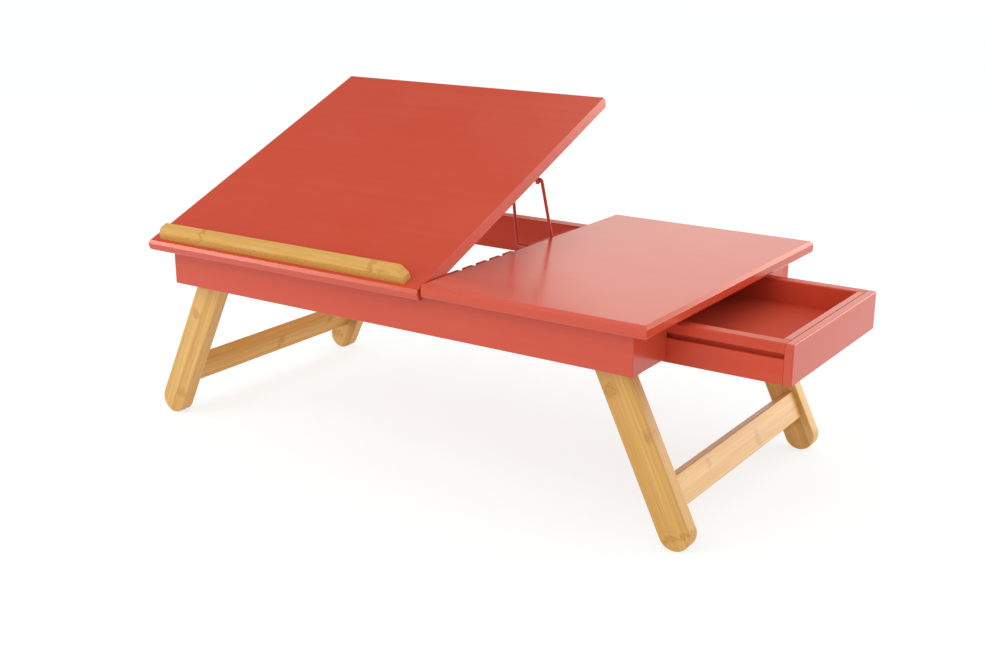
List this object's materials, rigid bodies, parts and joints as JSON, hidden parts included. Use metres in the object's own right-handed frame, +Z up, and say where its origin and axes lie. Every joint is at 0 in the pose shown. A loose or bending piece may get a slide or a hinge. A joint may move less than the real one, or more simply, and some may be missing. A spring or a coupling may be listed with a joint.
{
  "type": "laptop table",
  "caption": "Low folding laptop table: a hinged top panel tilts on a wire prop behind a laptop stop, a fixed panel covers a side drawer, and splayed legs fold under.",
  "frame": {"origin": "on the floor, under the middle of the table top's length and depth", "axes": "+X along the front towards the drawer's side, +Y from the user's side to the back, +Z up"},
  "size_m": [0.6717, 0.3464, 0.3232],
  "materials": {
    "red_lacquer": "satin coral-red lacquer",
    "bamboo": "clear satin varnish over strip bamboo",
    "plain_wood": "bare",
    "red_wire": "red powder coat",
    "steel": "zinc plated",
    "screw_steel": "zinc plated",
    "insert_brass": "turned"
  },
  "bodies": {
    "frame": {"front_rail": "red_lacquer", "back_rail": "red_lacquer", "left_rail": "red_lacquer", "right_end_front": "red_lacquer", "right_end_rear": "red_lacquer", "cross_rail": "red_lacquer", "prop_rack": "red_lacquer", "fixed_top": "red_lacquer", "drawer_guide_front": "red_lacquer", "drawer_guide_rear": "red_lacquer", "drawer_runner_front": "plain_wood", "drawer_runner_rear": "plain_wood", "drawer_catch": "red_lacquer", "catch_screws": "screw_steel", "top_screws": "screw_steel", "frame_dowels": "plain_wood", "top_dowels": "plain_wood", "rail_hinge_leaf_left": "steel", "rail_hinge_leaf_right": "steel", "hinge_pin_left": "steel", "hinge_pin_right": "steel", "rail_hinge_screws": "screw_steel", "left_pivot_front": "steel", "left_pivot_rear": "steel", "right_pivot_front": "steel", "right_pivot_rear": "steel", "pivot_washers": "steel", "pivot_inserts": "insert_brass"},
    "tilt_panel": {"tilt_top": "red_lacquer", "laptop_stop": "bamboo", "laptop_stop_screws": "screw_steel", "panel_hinge_leaf_left": "steel", "panel_hinge_leaf_right": "steel", "panel_hinge_screws": "screw_steel", "prop_hook_left": "steel", "prop_hook_right": "steel", "prop_hook_screws": "screw_steel"},
    "prop": {"prop_wire": "red_wire"},
    "drawer": {"drawer_front": "red_lacquer", "drawer_back": "red_lacquer", "drawer_side_front": "red_lacquer", "drawer_side_rear": "red_lacquer", "drawer_floor": "red_lacquer", "drawer_dowels": "plain_wood"},
    "left_legs": {"left_leg_front": "bamboo", "left_leg_rear": "bamboo", "left_stretcher": "bamboo", "left_stretcher_dowels": "plain_wood"},
    "right_legs": {"right_leg_front": "bamboo", "right_leg_rear": "bamboo", "right_stretcher": "bamboo", "right_stretcher_dowels": "plain_wood"}
  },
  "joints": [
    {"name": "tilt_hinge", "type": "hinge", "parent": "frame", "child": "tilt_panel", "pos_m": [-0.11, -0.16, 0.1863], "axis": [1, 0, 0], "range_deg": [-22.5, 0]},
    {"name": "prop_fold", "type": "hinge", "parent": "frame", "child": "prop", "pos_m": [0.0338, 0.0498, 0.1835], "axis": [1, 0, 0], "range_deg": [-126, 0]},
    {"name": "drawer_slide", "type": "slide", "parent": "frame", "child": "drawer", "axis": [1, 0, 0], "range_m": [-0.1094, 0.0289]},
    {"name": "left_leg_fold", "type": "hinge", "parent": "frame", "child": "left_legs", "pos_m": [-0.21889, 0, 0.1637], "axis": [0, -1, 0], "range_deg": [0, 115.75]},
    {"name": "right_leg_fold", "type": "hinge", "parent": "frame", "child": "right_legs", "pos_m": [0.21889, 0, 0.1637], "axis": [0, 1, 0], "range_deg": [0, 105]}
  ],
  "couplings": [
    {"joint": "prop_fold", "follows": "tilt_hinge", "ratio": 5.6}
  ]
}
